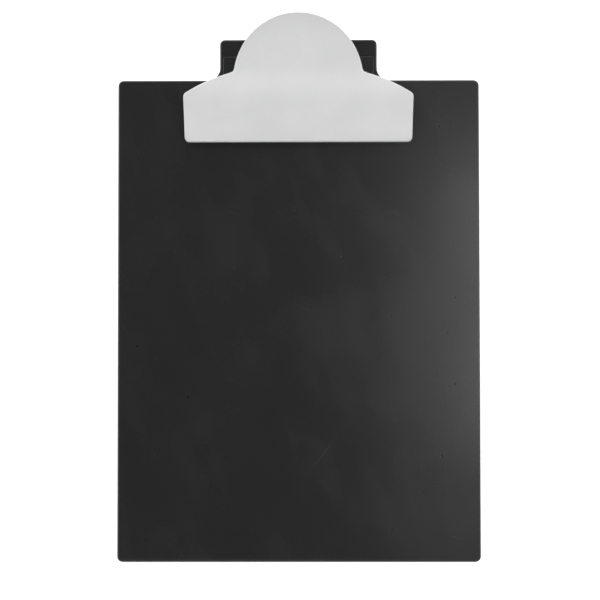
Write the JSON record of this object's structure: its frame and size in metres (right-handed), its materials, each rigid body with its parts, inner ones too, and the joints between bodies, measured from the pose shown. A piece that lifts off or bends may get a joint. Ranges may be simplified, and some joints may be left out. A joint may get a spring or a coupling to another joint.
{
  "type": "clipboard",
  "caption": "Flat moulded clipboard with a finger tab at its top edge and a wide sprung plastic clip whose domed lever opens a straight jaw.",
  "frame": {"origin": "on the back face, in the middle of the overall width and length", "axes": "+X across the board to the right as seen from the front, +Y up the board towards the clip, +Z out of the writing face; the board lies on its back"},
  "size_m": [0.23, 0.3448, 0.0275],
  "materials": {
    "black_board": "moulded black plastic with a satin sheen",
    "black_base": "satin black plastic",
    "white_clip": "light grey-white plastic with a soft sheen",
    "rubber_grip": "soft matt rubber",
    "pin_steel": "drawn steel",
    "spring_steel": "oiled spring wire",
    "rivet_steel": "nickel-plated steel"
  },
  "bodies": {
    "base": {"board": "black_board", "hinge_base": "black_base", "hinge_pin": "pin_steel", "retainer_left": "spring_steel", "retainer_right": "spring_steel", "spring_left": "spring_steel", "spring_right": "spring_steel", "rivet_1": "rivet_steel", "rivet_2": "rivet_steel", "rivet_3": "rivet_steel", "rivet_4": "rivet_steel", "rivet_washer_1": "rivet_steel", "rivet_washer_2": "rivet_steel", "rivet_washer_3": "rivet_steel", "rivet_washer_4": "rivet_steel"},
    "clip": {"clip_lever": "white_clip", "jaw_grip": "rubber_grip"}
  },
  "joints": [
    {"name": "clip_hinge", "type": "hinge", "parent": "base", "child": "clip", "pos_m": [0, 0.1312, 0.0085], "axis": [-1, 0, 0], "range_deg": [0, 27], "stiffness_Nm_per_rad": 0.9, "springref_deg": -34.38, "deforming": ["spring_left", "spring_right"]}
  ]
}
